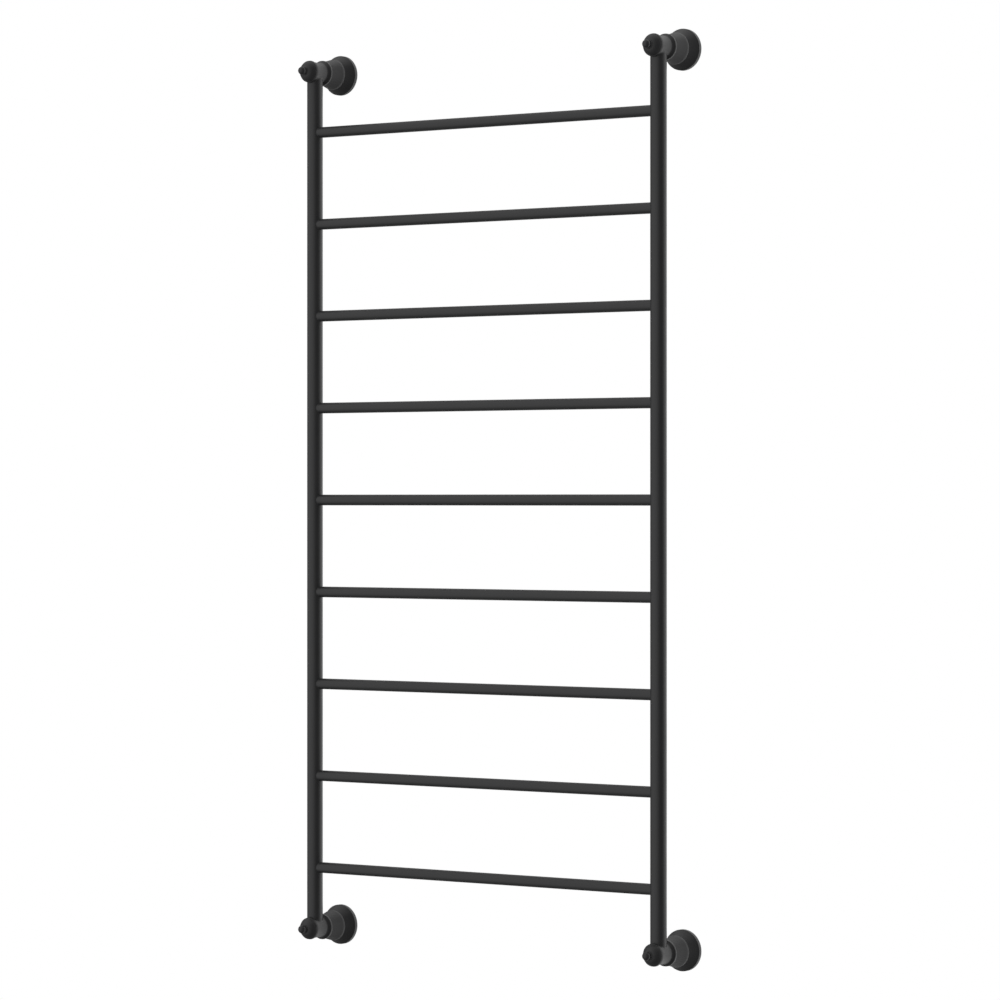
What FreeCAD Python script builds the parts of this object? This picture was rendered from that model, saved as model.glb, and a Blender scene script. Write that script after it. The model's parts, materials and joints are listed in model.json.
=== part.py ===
"""Ladder towel warmer: two uprights, nine rungs and four turned wall brackets.

Frame: millimetres, +Z up, +X to the right, +Y into the wall. The origin lies on the wall plane,
midway between the four brackets. Each piece is a solid of its own, in a STEP file of its own.
"""
import FreeCAD
import Part
import math
import os

Vector = FreeCAD.Vector

# ---- Overall sizes ----
UPRIGHT_CENTRES = 578.0      # axis of the left upright to axis of the right one
RUNG_COUNT = 9
RUNG_PITCH = 128.75          # rung axis to rung axis
END_SPACE = 85.0             # bracket axis to the nearest rung axis
STANDOFF = 62.0              # axes of the uprights to the wall

# ---- Tubes ----
UPRIGHT_DIAMETER = 22.0
UPRIGHT_WALL = 1.2
RUNG_DIAMETER = 15.0
RUNG_WALL = 1.0
BRAZE_GAP = 0.05             # all round a rung in its hole, and where an upright meets its socket

# ---- Turned socket, on the end of an upright ----
SOCKET_FACE_RADIUS = 14.4    # at the front face, under the washer
SOCKET_SIDE_BULGE = -0.45    # a bulge below nought is a hollow
SOCKET_COVE_RADIUS = 14.4    # where the cove to the ring starts
SOCKET_COVE_LENGTH = 1.6
SOCKET_COVE_BULGE = -0.08
SOCKET_SHOULDER = 0.2        # each side of the upright
SPIGOT_REACH = 30.0          # bracket axis to the end of the spigot inside the upright
SPIGOT_CLEARANCE = 0.05
WIREWAY_RADIUS = 5.5         # bore of the spigot

# ---- Finial, screwed into the front of the socket ----
FINIAL_THREAD_RADIUS = 4.0
FINIAL_THREAD_LENGTH = 6.6
FINIAL_CLEARANCE = 0.3       # in front of the upright
FINIAL_RIM_RADIUS = 15.4
FINIAL_RIM_LENGTH = 3.5
FINIAL_RIM_BULGE = 0.07
FINIAL_EDGE_ROUND = 0.35
DOME_BACK_RADIUS = 14.45
DOME_STEP = 0.45             # depth of the small step in front of the rim
DOME_FRONT_RADIUS = 5.95
DOME_LENGTH = 8.9
DOME_BULGE = 1.31
BEAD_LENGTH = 1.8
BEAD_BULGE = 1.21
KNOB_RADIUS = 5.7
KNOB_NECK_RADIUS = 4.2
KNOB_NECK_OFFSET = 3.3       # centre of the knob to its neck
KNOB_NECK_BULGE = 0.33
WASHER_THICKNESS = 0.4
WASHER_RADIUS = 13.7
THREAD_CLEARANCE = 0.05      # radial, on every threaded fit

# ---- Ring between the socket and the bell ----
RING_LENGTH = 7.3            # back of the socket to the bell
RING_FOOT_RADIUS = 15.0
RING_FOOT_BULGE = -0.15
RING_CREST_RADIUS = 17.5
RING_CREST_OFFSET = 3.6
RING_CREST_CHAMFER = (0.4, 0.2)      # along and across
RING_BAND_BULGE = 0.1
RING_NECK_RADIUS = 16.2      # at the bottom of the groove in front of the bell
RING_NECK_LENGTH = 0.8
RING_NIPPLE_RADIUS = 6.0
RING_NIPPLE_LENGTH = 5.0     # into the back of the socket
RING_BORE_RADIUS = 4.5

# ---- Bell, over the wall plate ----
BELL_FRONT_BULGE = -0.15
BELL_EDGE_RADIUS = 21.2      # crisp edge part way along
BELL_EDGE_TO_WALL = 20.7
BELL_EDGE_LAND = 2.4         # narrow band at the edge
BELL_EDGE_TAPER = 0.1
BELL_EDGE_STEP = 0.9         # undercut behind the edge
BELL_EDGE_STEP_LENGTH = 0.5
BELL_SKIRT_BULGE = -0.25
BELL_RIM_RADIUS = 27.8
BELL_RIM_LENGTH = 6.4
BELL_RIM_ROUND = 0.5
BELL_WALL = 2.0
BELL_HUB = 8.0
BELL_HUB_RADIUS = 15.2       # of the hollow behind the hub
BELL_SEAT_LIP = 0.8          # over the front edge of the wall plate
BELL_WALL_GAP = 0.1          # so that the plate seats on the wall first
NUT_THICKNESS = 4.0
NUT_ACROSS_FLATS = 17.0
NIPPLE_END = 1.0             # thread showing past the nut

# ---- Wall plate and its fastenings ----
PLATE_RADIUS = 22.0
PLATE_THICKNESS = 6.0
PLATE_CLEARANCE = 0.2
GROOVE_DEPTH = 1.0
GROOVE_WIDTH = 4.4
SCREW_OFFSET = 15.0          # wall screws, each side of the bracket axis
SCREW_HOLE_RADIUS = 2.4
COUNTERSINK_RADIUS = 4.4
GRUB_RADIUS = 2.0
GRUB_LENGTH = 4.6
GRUB_DRIVE_RADIUS = 1.0
GRUB_DRIVE_DEPTH = 1.8
CABLE_ENTRY_OFFSET = 13.0    # below the bracket axis
CABLE_ENTRY_RADIUS = 4.5
GROMMET_BORE_RADIUS = 2.8
GROMMET_LIP = 1.2
GROMMET_LIP_THICKNESS = 1.0
EARTH_OFFSET = 14.0          # above the bracket axis
EARTH_THREAD_RADIUS = 2.0
EARTH_HEAD_RADIUS = 3.4
EARTH_HEAD_HEIGHT = 2.2
EARTH_SLOT = 1.0
EARTH_SCREW_TO_WALL = 1.0
EARTH_TAG_RADIUS = 3.6
EARTH_TAG_THICKNESS = 0.8
EARTH_TAG_LENGTH = 6.0
TERMINAL_WIDTH = 18.0
TERMINAL_DEPTH = 10.0
TERMINAL_HEIGHT = 12.0
TERMINAL_WAY_PITCH = 5.5     # three ways side by side, each with its clamp screw
TERMINAL_SCREW_RADIUS = 1.3
TERMINAL_SCREW_DEPTH = 3.0
TERMINAL_SCREW_PROUD = 0.3
TERMINAL_SCREW_SLOT = 0.5
TERMINAL_ENTRY_DEPTH = 6.0   # wire entries in the back of the two outer ways
TERMINAL_ENTRY_DROP = 3.0    # below the middle of the block

# ---- Heating cable and what is on it ----
CABLE_RADIUS = 2.5
CABLE_BEND = 20.0            # where it turns into each rung
LEAD_BEND = 10.0             # where the lead turns up inside the socket
CUTOUT_RADIUS = 4.5
CUTOUT_LENGTH = 16.0
CUTOUT_START = 14.0          # bracket axis to the cut-out's lower end
SPLICE_RADIUS = 3.8
SPLICE_LENGTH = 12.0
CABLE_TAIL = 8.0             # past the last bend, to the end cap
END_CAP_RADIUS = 3.6
END_CAP_LENGTH = 16.0

# ---- Cutting ----
OVERRUN = 1.0                # a cutter's reach past the face that it leaves by

# ---- Worked out from the sizes above ----
UPRIGHT_RADIUS = UPRIGHT_DIAMETER / 2
UPRIGHT_BORE = UPRIGHT_RADIUS - UPRIGHT_WALL
RUNG_RADIUS = RUNG_DIAMETER / 2
FIXING_HEIGHT = (RUNG_COUNT - 1) * RUNG_PITCH + 2 * END_SPACE
HALF_WIDTH = UPRIGHT_CENTRES / 2
HALF_HEIGHT = FIXING_HEIGHT / 2
RUNG_LEVELS = [HALF_HEIGHT - END_SPACE - i * RUNG_PITCH for i in range(RUNG_COUNT)]
# Distances along a bracket, from the upright's axis towards the wall
FINIAL_SEAT = -(UPRIGHT_RADIUS + FINIAL_CLEARANCE)
SOCKET_FRONT = FINIAL_SEAT + WASHER_THICKNESS
SOCKET_BACK = UPRIGHT_RADIUS + SOCKET_SHOULDER
BELL_NECK = SOCKET_BACK + RING_LENGTH
HUB_BACK = BELL_NECK + BELL_HUB
RING_TAIL_END = HUB_BACK + NUT_THICKNESS + NIPPLE_END
PLATE_FRONT = STANDOFF - PLATE_THICKNESS
BELL_BACK = STANDOFF - BELL_WALL_GAP
GROOVE_FLOOR = PLATE_RADIUS - GROOVE_DEPTH
TERMINAL_FRONT = PLATE_FRONT - TERMINAL_DEPTH
SPLICE_START = CUTOUT_START + CUTOUT_LENGTH

# Corner name: (side of the rack, top or bottom)
CORNERS = {"top_left": (-1, 1), "top_right": (1, 1), "bottom_left": (-1, -1), "bottom_right": (1, -1)}
SUPPLY_CORNER = "bottom_right"


# ---- Helpers ----
def turned(start, *steps):
    """Solid turned about the bracket's axis. Points are (distance towards the wall, radius).

    A step is the next point, along a straight line, or the next point and a bulge: then the way
    there is an arc whose middle stands that far outside the straight line. The outline closes
    with a straight line.
    """
    here = first = Vector(start[1], start[0], 0)
    edges = []
    for along, radius, *bulge in steps:
        there = Vector(radius, along, 0)
        if bulge:
            run = there - here
            outwards = Vector(run.y, -run.x, 0).normalize()
            middle = (here + there) * 0.5 + outwards * bulge[0]
            edges.append(Part.Arc(here, middle, there).toShape())
        else:
            edges.append(Part.LineSegment(here, there).toShape())
        here = there
    edges.append(Part.LineSegment(here, first).toShape())
    face = Part.Face(Part.Wire(edges))
    solid = face.revolve(Vector(0, 0, 0), Vector(0, 1, 0), 360)
    return Part.Solid(solid) if solid.ShapeType == "Shell" else solid


def rod(radius, start, direction, length):
    """Solid round bar."""
    return Part.makeCylinder(radius, length, Vector(*start), Vector(*direction))


def along_bracket(radius, front, back, across=0.0, up=0.0):
    """Round bar parallel to the bracket's axis."""
    return rod(radius, (across, front, up), (0, 1, 0), back - front)


def at_corner(shape, corner):
    """Copy of a bracket piece, moved to its corner. A top one is turned over."""
    side, level = CORNERS[corner]
    placed = shape.copy()
    if level > 0:
        placed.rotate(Vector(0, 0, 0), Vector(0, 1, 0), 180)
    placed.translate(Vector(side * HALF_WIDTH, -STANDOFF, level * HALF_HEIGHT))
    return placed


def upright_at_corner(shape, corner):
    """The same, but never turned over: for pieces that have an underside."""
    side, level = CORNERS[corner]
    placed = shape.copy()
    placed.translate(Vector(side * HALF_WIDTH, -STANDOFF, level * HALF_HEIGHT))
    return placed


def swept_round(radius, points, bends):
    """Round bar along straight runs joined by tangent arcs. bends has one radius per inner point."""
    edges = []
    here = Vector(*points[0])
    for i, bend in enumerate(bends, start=1):
        corner = Vector(*points[i])
        inward = (Vector(*points[i - 1]) - corner).normalize()
        onward = (Vector(*points[i + 1]) - corner).normalize()
        half_turn = (math.pi - inward.getAngle(onward)) / 2
        setback = bend * math.tan(half_turn)
        centre_line = (inward + onward).normalize()
        middle = corner + centre_line * (bend / math.cos(half_turn) - bend)
        arc_start = corner + inward * setback
        arc_end = corner + onward * setback
        if (arc_start - here).Length > 1e-6:
            edges.append(Part.LineSegment(here, arc_start).toShape())
        edges.append(Part.Arc(arc_start, middle, arc_end).toShape())
        here = arc_end
    edges.append(Part.LineSegment(here, Vector(*points[-1])).toShape())
    path = Part.Wire(edges)
    start_direction = Vector(*points[1]) - Vector(*points[0])
    section = Part.Wire(Part.makeCircle(radius, Vector(*points[0]), start_direction))
    return path.makePipeShell([section], True, False), path.Length


# ---- Bracket pieces, about their own axis with the spigot upwards ----
def socket_outside(grow=0.0):
    """Outside of the turned socket. A little larger all round, it is the cutter for an upright."""
    cove_at = SOCKET_BACK - SOCKET_COVE_LENGTH
    return turned(
        (SOCKET_FRONT, 0),
        (SOCKET_FRONT, SOCKET_FACE_RADIUS + grow),
        (cove_at, SOCKET_COVE_RADIUS + grow, SOCKET_SIDE_BULGE),
        (SOCKET_BACK, RING_FOOT_RADIUS + grow, SOCKET_COVE_BULGE),
        (SOCKET_BACK, 0),
    )


def make_socket():
    spigot = rod(UPRIGHT_BORE - SPIGOT_CLEARANCE, (0, 0, 0), (0, 0, 1), SPIGOT_REACH)
    wireway = rod(WIREWAY_RADIUS, (0, 0, 0), (0, 0, 1), SPIGOT_REACH)
    front_thread = along_bracket(FINIAL_THREAD_RADIUS + THREAD_CLEARANCE, SOCKET_FRONT, 0)
    back_thread = along_bracket(
        RING_NIPPLE_RADIUS + THREAD_CLEARANCE, SOCKET_BACK - RING_NIPPLE_LENGTH, SOCKET_BACK)
    back_bore = along_bracket(RING_BORE_RADIUS, 0, SOCKET_BACK)
    return socket_outside().fuse(spigot).cut(wireway.fuse([front_thread, back_thread, back_bore]))


def make_finial():
    """Knob, neck, bead, dome and rim in one turned piece, with its threaded stub."""
    rim_front = FINIAL_SEAT - FINIAL_RIM_LENGTH
    dome_front = rim_front - DOME_LENGTH
    bead_front = dome_front - BEAD_LENGTH
    knob_centre = bead_front - KNOB_NECK_OFFSET
    stub_end = SOCKET_FRONT + FINIAL_THREAD_LENGTH
    quarter_circle_bulge = KNOB_RADIUS * (1 - math.sqrt(0.5))
    return turned(
        (knob_centre - KNOB_RADIUS, 0),
        (knob_centre, KNOB_RADIUS, quarter_circle_bulge),
        (bead_front, KNOB_NECK_RADIUS, KNOB_NECK_BULGE),
        (dome_front, DOME_FRONT_RADIUS, BEAD_BULGE),
        (rim_front, DOME_BACK_RADIUS, DOME_BULGE),
        (rim_front, DOME_BACK_RADIUS + DOME_STEP),
        (FINIAL_SEAT - FINIAL_EDGE_ROUND, FINIAL_RIM_RADIUS, FINIAL_RIM_BULGE),
        (FINIAL_SEAT, FINIAL_RIM_RADIUS - FINIAL_EDGE_ROUND),
        (FINIAL_SEAT, FINIAL_THREAD_RADIUS),
        (stub_end, FINIAL_THREAD_RADIUS),
        (stub_end, 0),
    )


def make_washer():
    """Thin fibre washer, held on the finial's stub."""
    disc = along_bracket(WASHER_RADIUS, FINIAL_SEAT, SOCKET_FRONT)
    return disc.cut(along_bracket(FINIAL_THREAD_RADIUS + THREAD_CLEARANCE, FINIAL_SEAT, SOCKET_FRONT))


def make_ring():
    """Ring behind the socket, with a threaded nipple at each end and a bore for the wires."""
    nipple_start = SOCKET_BACK - RING_NIPPLE_LENGTH
    crest_at = SOCKET_BACK + RING_CREST_OFFSET
    chamfer_along, chamfer_across = RING_CREST_CHAMFER
    return turned(
        (nipple_start, RING_BORE_RADIUS),
        (nipple_start, RING_NIPPLE_RADIUS),
        (SOCKET_BACK, RING_NIPPLE_RADIUS),
        (SOCKET_BACK, RING_FOOT_RADIUS),
        (crest_at - chamfer_along, RING_CREST_RADIUS - chamfer_across, RING_FOOT_BULGE),
        (crest_at, RING_CREST_RADIUS),
        (BELL_NECK - RING_NECK_LENGTH, RING_CREST_RADIUS, RING_BAND_BULGE),
        (BELL_NECK, RING_NECK_RADIUS),
        (BELL_NECK, RING_NIPPLE_RADIUS),
        (RING_TAIL_END, RING_NIPPLE_RADIUS),
        (RING_TAIL_END, RING_BORE_RADIUS),
    )


def make_bell():
    """Hollow bell that covers the wall plate, with a grub screw hole in its underside."""
    edge_at = STANDOFF - BELL_EDGE_TO_WALL
    skirt_at = edge_at + BELL_EDGE_STEP_LENGTH
    skirt_radius = BELL_EDGE_RADIUS - BELL_EDGE_STEP
    rim_front = BELL_BACK - BELL_RIM_LENGTH
    rim_shoulder = BELL_RIM_RADIUS - BELL_RIM_ROUND
    hub_bore = RING_NIPPLE_RADIUS + THREAD_CLEARANCE
    plate_bore = PLATE_RADIUS + PLATE_CLEARANCE
    plate_seat = PLATE_FRONT - BELL_WALL_GAP
    bell = turned(
        (BELL_NECK, hub_bore),
        (BELL_NECK, RING_NECK_RADIUS),
        (edge_at - BELL_EDGE_LAND, BELL_EDGE_RADIUS - BELL_EDGE_TAPER, BELL_FRONT_BULGE),
        (edge_at, BELL_EDGE_RADIUS),
        (skirt_at, skirt_radius),
        (rim_front, rim_shoulder, BELL_SKIRT_BULGE),
        (rim_front + BELL_RIM_ROUND, BELL_RIM_RADIUS),
        (BELL_BACK - BELL_RIM_ROUND, BELL_RIM_RADIUS),
        (BELL_BACK, rim_shoulder),
        (BELL_BACK, plate_bore),
        (plate_seat, plate_bore),
        (plate_seat, plate_bore - BELL_SEAT_LIP),
        (skirt_at, skirt_radius - BELL_WALL),
        (HUB_BACK, BELL_HUB_RADIUS),
        (HUB_BACK, hub_bore),
    )
    return bell.cut(from_groove_floor(GRUB_RADIUS + THREAD_CLEARANCE, BELL_RIM_RADIUS))


def from_groove_floor(radius, length, start=0.0):
    """Upright round bar below the wall plate, from its groove's floor or that far past it."""
    groove_at = STANDOFF - PLATE_THICKNESS / 2
    return rod(radius, (0, groove_at, -GROOVE_FLOOR - start), (0, 0, -1), length)


def make_grub_screw():
    """Set screw with a round drive recess in its outer end."""
    drive = from_groove_floor(GRUB_DRIVE_RADIUS, GRUB_DRIVE_DEPTH, GRUB_LENGTH - GRUB_DRIVE_DEPTH)
    return from_groove_floor(GRUB_RADIUS, GRUB_LENGTH).cut(drive)


def make_nut():
    """Thin hexagon nut that holds the ring and the bell together."""
    corner_radius = NUT_ACROSS_FLATS / 2 / math.cos(math.pi / 6)
    points = [Vector(corner_radius * math.cos(math.radians(60 * i)), HUB_BACK,
                     corner_radius * math.sin(math.radians(60 * i))) for i in range(7)]
    nut = Part.Face(Part.makePolygon(points)).extrude(Vector(0, NUT_THICKNESS, 0))
    return nut.cut(along_bracket(RING_NIPPLE_RADIUS + THREAD_CLEARANCE, HUB_BACK, RING_TAIL_END))


def make_wall_plate():
    """Round plate: two countersunk wall screws, a cable entry and an earth screw hole."""
    groove_front = STANDOFF - (PLATE_THICKNESS + GROOVE_WIDTH) / 2
    plate = along_bracket(PLATE_RADIUS, PLATE_FRONT, STANDOFF)
    groove_back = groove_front + GROOVE_WIDTH
    groove = along_bracket(PLATE_RADIUS + OVERRUN, groove_front, groove_back).cut(
        along_bracket(GROOVE_FLOOR, groove_front, groove_back))
    plate = plate.cut(groove)
    sink_depth = COUNTERSINK_RADIUS - SCREW_HOLE_RADIUS
    for across in (-SCREW_OFFSET, SCREW_OFFSET):
        sink = Part.makeCone(COUNTERSINK_RADIUS, SCREW_HOLE_RADIUS, sink_depth,
                             Vector(across, PLATE_FRONT, 0), Vector(0, 1, 0))
        plate = plate.cut(along_bracket(SCREW_HOLE_RADIUS, PLATE_FRONT, STANDOFF, across)).cut(sink)
    plate = plate.cut(along_bracket(CABLE_ENTRY_RADIUS, PLATE_FRONT, STANDOFF, up=-CABLE_ENTRY_OFFSET))
    return plate.cut(along_bracket(
        EARTH_THREAD_RADIUS + THREAD_CLEARANCE, PLATE_FRONT, STANDOFF, up=EARTH_OFFSET))


# ---- Supply fittings, on the wall plate of one corner ----
def make_grommet():
    """Rubber grommet: a lip in front of the plate and a sleeve through it."""
    low = -CABLE_ENTRY_OFFSET
    lip = along_bracket(CABLE_ENTRY_RADIUS + GROMMET_LIP, PLATE_FRONT - GROMMET_LIP_THICKNESS,
                        PLATE_FRONT, up=low)
    sleeve = along_bracket(CABLE_ENTRY_RADIUS - THREAD_CLEARANCE, PLATE_FRONT, STANDOFF, up=low)
    bore = along_bracket(GROMMET_BORE_RADIUS, PLATE_FRONT - GROMMET_LIP_THICKNESS, STANDOFF, up=low)
    return lip.fuse(sleeve).cut(bore)


def terminal_ways():
    """Middle of each of the block's three ways, across."""
    return (-TERMINAL_WAY_PITCH, 0.0, TERMINAL_WAY_PITCH)


def clamp_screw(radius, across, proud=0.0):
    """Round bar for one clamp screw or its hole, in the top of the block."""
    floor = (across, TERMINAL_FRONT + TERMINAL_DEPTH / 2, TERMINAL_HEIGHT / 2 - TERMINAL_SCREW_DEPTH)
    return rod(radius, floor, (0, 0, 1), TERMINAL_SCREW_DEPTH + proud)


def make_terminal_block():
    """Three-way block. The middle way is a spare, so only the outer two have wire entries."""
    block = Part.makeBox(TERMINAL_WIDTH, TERMINAL_DEPTH, TERMINAL_HEIGHT,
                         Vector(-TERMINAL_WIDTH / 2, TERMINAL_FRONT, -TERMINAL_HEIGHT / 2))
    for across in terminal_ways():
        block = block.cut(clamp_screw(TERMINAL_SCREW_RADIUS + THREAD_CLEARANCE, across))
        if across:
            block = block.cut(along_bracket(TERMINAL_SCREW_RADIUS, PLATE_FRONT - TERMINAL_ENTRY_DEPTH,
                                            PLATE_FRONT, across, -TERMINAL_ENTRY_DROP))
    return block


def make_terminal_screws():
    slot_length = 2 * TERMINAL_SCREW_RADIUS + OVERRUN
    slot_front = TERMINAL_FRONT + (TERMINAL_DEPTH - slot_length) / 2
    slot_floor = TERMINAL_HEIGHT / 2 + TERMINAL_SCREW_PROUD - TERMINAL_SCREW_SLOT
    screws = []
    for across in terminal_ways():
        slot = Part.makeBox(TERMINAL_SCREW_SLOT, slot_length, TERMINAL_SCREW_SLOT,
                            Vector(across - TERMINAL_SCREW_SLOT / 2, slot_front, slot_floor))
        screws.append(clamp_screw(TERMINAL_SCREW_RADIUS, across, TERMINAL_SCREW_PROUD).cut(slot))
    return Part.makeCompound(screws)


def make_earth_tag():
    """Flat ring tag with a short crimped tail."""
    front = PLATE_FRONT - EARTH_TAG_THICKNESS
    ring = along_bracket(EARTH_TAG_RADIUS, front, PLATE_FRONT, up=EARTH_OFFSET)
    tail = Part.makeBox(EARTH_TAG_LENGTH, EARTH_TAG_THICKNESS, EARTH_TAG_RADIUS, Vector(
        0, front, EARTH_OFFSET - EARTH_TAG_RADIUS / 2))
    hole = along_bracket(EARTH_THREAD_RADIUS + THREAD_CLEARANCE, front, PLATE_FRONT, up=EARTH_OFFSET)
    return ring.fuse(tail).cut(hole)


def make_earth_screw():
    head_back = PLATE_FRONT - EARTH_TAG_THICKNESS
    head = along_bracket(EARTH_HEAD_RADIUS, head_back - EARTH_HEAD_HEIGHT, head_back, up=EARTH_OFFSET)
    shank = along_bracket(EARTH_THREAD_RADIUS, head_back, STANDOFF - EARTH_SCREW_TO_WALL,
                          up=EARTH_OFFSET)
    slot = Part.makeBox(2 * EARTH_HEAD_RADIUS, EARTH_SLOT, EARTH_SLOT, Vector(
        -EARTH_HEAD_RADIUS, head_back - EARTH_HEAD_HEIGHT, EARTH_OFFSET - EARTH_SLOT / 2))
    return head.fuse(shank).cut(slot)


# ---- Ladder ----
def make_upright(side):
    """Tube with a hole for each rung, coped at both ends over its two sockets."""
    across = side * HALF_WIDTH
    base = (across, -STANDOFF, -HALF_HEIGHT)
    tube = rod(UPRIGHT_RADIUS, base, (0, 0, 1), FIXING_HEIGHT).cut(
        rod(UPRIGHT_BORE, base, (0, 0, 1), FIXING_HEIGHT))
    holes = [rod(RUNG_RADIUS + BRAZE_GAP, (across, -STANDOFF, level), (-side, 0, 0), UPRIGHT_DIAMETER)
             for level in RUNG_LEVELS]
    front_land = along_bracket(SOCKET_FACE_RADIUS + BRAZE_GAP, FINIAL_SEAT, SOCKET_FRONT)
    cope = socket_outside(BRAZE_GAP).fuse(front_land)
    copes = [at_corner(cope, name) for name, corner in CORNERS.items() if corner[0] == side]
    return tube.cut(holes + copes)


def make_rung(level):
    """Tube through the inner walls of both uprights, coped flush with their bores."""
    start = (-HALF_WIDTH, -STANDOFF, level)
    tube = rod(RUNG_RADIUS, start, (1, 0, 0), UPRIGHT_CENTRES).cut(
        rod(RUNG_RADIUS - RUNG_WALL, start, (1, 0, 0), UPRIGHT_CENTRES))
    bores = [rod(UPRIGHT_BORE, (side * HALF_WIDTH, -STANDOFF, level - RUNG_DIAMETER), (0, 0, 1),
                 2 * RUNG_DIAMETER) for side in (-1, 1)]
    return tube.cut(bores)


# ---- Heating cable, lead and the fittings between them ----
def cable_side(rung):
    """Side on which the cable enters a rung, counted from the bottom one."""
    return 1 if rung % 2 == 0 else -1


def cable_end():
    """Height at which the cable ends, above the top rung."""
    return RUNG_LEVELS[0] + CABLE_BEND + CABLE_TAIL


def make_heating_cable():
    """One cable from the splice, through every rung in turn, to its end cap."""
    start_level = -HALF_HEIGHT + SPLICE_START + SPLICE_LENGTH
    points = [(HALF_WIDTH, -STANDOFF, start_level)]
    for rung, level in enumerate(reversed(RUNG_LEVELS)):
        side = cable_side(rung)
        points.append((side * HALF_WIDTH, -STANDOFF, level))
        points.append((-side * HALF_WIDTH, -STANDOFF, level))
    last_side = -cable_side(RUNG_COUNT - 1)
    points.append((last_side * HALF_WIDTH, -STANDOFF, cable_end()))
    return swept_round(CABLE_RADIUS, points, [CABLE_BEND] * (len(points) - 2))


def make_supply_lead():
    """From the terminal block, through the ring and the socket, up to the cut-out."""
    points = [(0, TERMINAL_FRONT, 0), (0, 0, 0), (0, 0, CUTOUT_START)]
    return swept_round(CABLE_RADIUS, points, [LEAD_BEND])


def make_cable_end_cap():
    """Sealed cap over the end of the cable."""
    side = -cable_side(RUNG_COUNT - 1)
    overlap = END_CAP_LENGTH / 2
    base = (side * HALF_WIDTH, -STANDOFF, cable_end() - overlap)
    cap = rod(END_CAP_RADIUS, base, (0, 0, 1), END_CAP_LENGTH)
    return cap.cut(rod(CABLE_RADIUS, base, (0, 0, 1), overlap))


def in_supply_spigot(radius, start, length):
    """Round bar that stands in the spigot, from a height above the bracket's axis."""
    return rod(radius, (0, 0, start), (0, 0, 1), length)


# ---- Build every node ----
def build_nodes():
    nodes = {
        "upright_left": make_upright(-1),
        "upright_right": make_upright(1),
    }
    for number, level in enumerate(RUNG_LEVELS, start=1):
        nodes["rung_%d" % number] = make_rung(level)

    for corner in CORNERS:
        nodes["socket_" + corner] = at_corner(make_socket(), corner)
        nodes["finial_" + corner] = at_corner(make_finial(), corner)
        nodes["finial_washer_" + corner] = at_corner(make_washer(), corner)
        nodes["bracket_ring_" + corner] = at_corner(make_ring(), corner)
        nodes["wall_bell_" + corner] = upright_at_corner(make_bell(), corner)
        nodes["wall_plate_" + corner] = upright_at_corner(make_wall_plate(), corner)
    nodes["bell_nuts"] = Part.makeCompound([at_corner(make_nut(), corner) for corner in CORNERS])
    nodes["grub_screws"] = Part.makeCompound(
        [upright_at_corner(make_grub_screw(), corner) for corner in CORNERS])

    cable, cable_length = make_heating_cable()
    lead, lead_length = make_supply_lead()
    nodes["heating_cable"] = cable
    nodes["cable_end_cap"] = make_cable_end_cap()
    supply_fittings = {
        "supply_lead": lead,
        "thermal_cutout": in_supply_spigot(CUTOUT_RADIUS, CUTOUT_START, CUTOUT_LENGTH),
        "splice_sleeve": in_supply_spigot(SPLICE_RADIUS, SPLICE_START, SPLICE_LENGTH),
        "supply_grommet": make_grommet(),
        "terminal_block": make_terminal_block(),
        "terminal_screws": make_terminal_screws(),
        "earth_tag": make_earth_tag(),
        "earth_screw": make_earth_screw(),
    }
    for name, shape in supply_fittings.items():
        nodes[name] = upright_at_corner(shape, SUPPLY_CORNER)

    print("heating cable %.0f mm, bends %.0f mm" % (cable_length, CABLE_BEND))
    print("lead %.0f mm, bend %.0f mm" % (lead_length, LEAD_BEND))
    return nodes


def main():
    os.makedirs("parts", exist_ok=True)
    box = FreeCAD.BoundBox()
    nodes = build_nodes()
    for name, shape in nodes.items():
        if not shape.isValid() or not shape.Solids:
            raise ValueError("%s is not a valid solid" % name)
        shape.exportStep("parts/%s.step" % name)
        box.add(shape.optimalBoundingBox(True, False))
    print("%d nodes, %.1f wide, %.1f deep, %.1f high" % (
        len(nodes), box.XLength, box.YLength, box.ZLength))


main()
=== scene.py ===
# %% [markdown]
# # A ladder towel warmer in black powder coat
# The rack is two upright tubes, nine slimmer rungs and four turned wall brackets, each closed by a
# finial that screws out. Its sizes, joints and hidden parts come from the CAD model, which is
# loaded here as a fixed frame. What shows is rebuilt as finer meshes in the same place, and every
# other node keeps its CAD mesh and gets its own finish.

# %% Load the frame
import json
import math

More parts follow.
